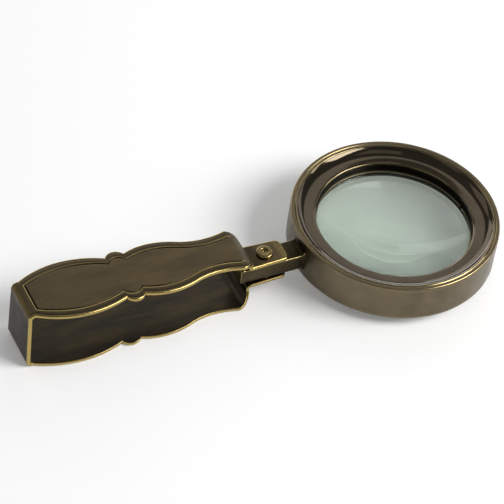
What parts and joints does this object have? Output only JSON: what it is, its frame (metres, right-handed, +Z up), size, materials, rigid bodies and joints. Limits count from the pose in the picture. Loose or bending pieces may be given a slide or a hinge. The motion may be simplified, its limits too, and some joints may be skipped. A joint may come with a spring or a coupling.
{
  "type": "folding magnifying glass",
  "caption": "Round lens in a brass ring whose arm pivots in a flat, open, scalloped strip handle and folds into it.",
  "frame": {"origin": "middle of the open object's length and width, at the height of the handle's lower outer face", "axes": "+X from the handle's closed end towards the lens, +Z up along the hinge and the lens axis, Y across the handle"},
  "size_m": [0.1806, 0.075, 0.0245],
  "materials": {
    "handle_brass": "antique patina, satin, with bright worn edges",
    "rivet_brass": "antique patina, worn on the rim",
    "washer_bronze": "plain turned bronze",
    "arm_brass": "antique patina, satin",
    "ring_brass": "brushed round the ring, light patina, polished rims",
    "bezel_brass": "polished dark patina",
    "cell_brass": "blackened",
    "lens_glass": "clear, polished",
    "gasket_rubber": "matte black",
    "snap_brass": "dull, dark patina"
  },
  "bodies": {
    "handle": {"handle_frame": "handle_brass", "hinge_rivet": "rivet_brass", "rivet_burr": "rivet_brass", "upper_washer": "washer_bronze", "lower_washer": "washer_bronze"},
    "lens_head": {"lens_arm": "arm_brass", "arm_screw": "rivet_brass", "lens_ring": "ring_brass", "upper_bezel": "bezel_brass", "lower_bezel": "bezel_brass", "lens_cell": "cell_brass", "lens": "lens_glass", "lens_gasket": "gasket_rubber", "retaining_ring": "snap_brass"}
  },
  "joints": [
    {"name": "lens_fold", "type": "hinge", "parent": "handle", "child": "lens_head", "pos_m": [0.0013, 0, 0.0106], "axis": [0, 0, 1], "continuous": true}
  ]
}
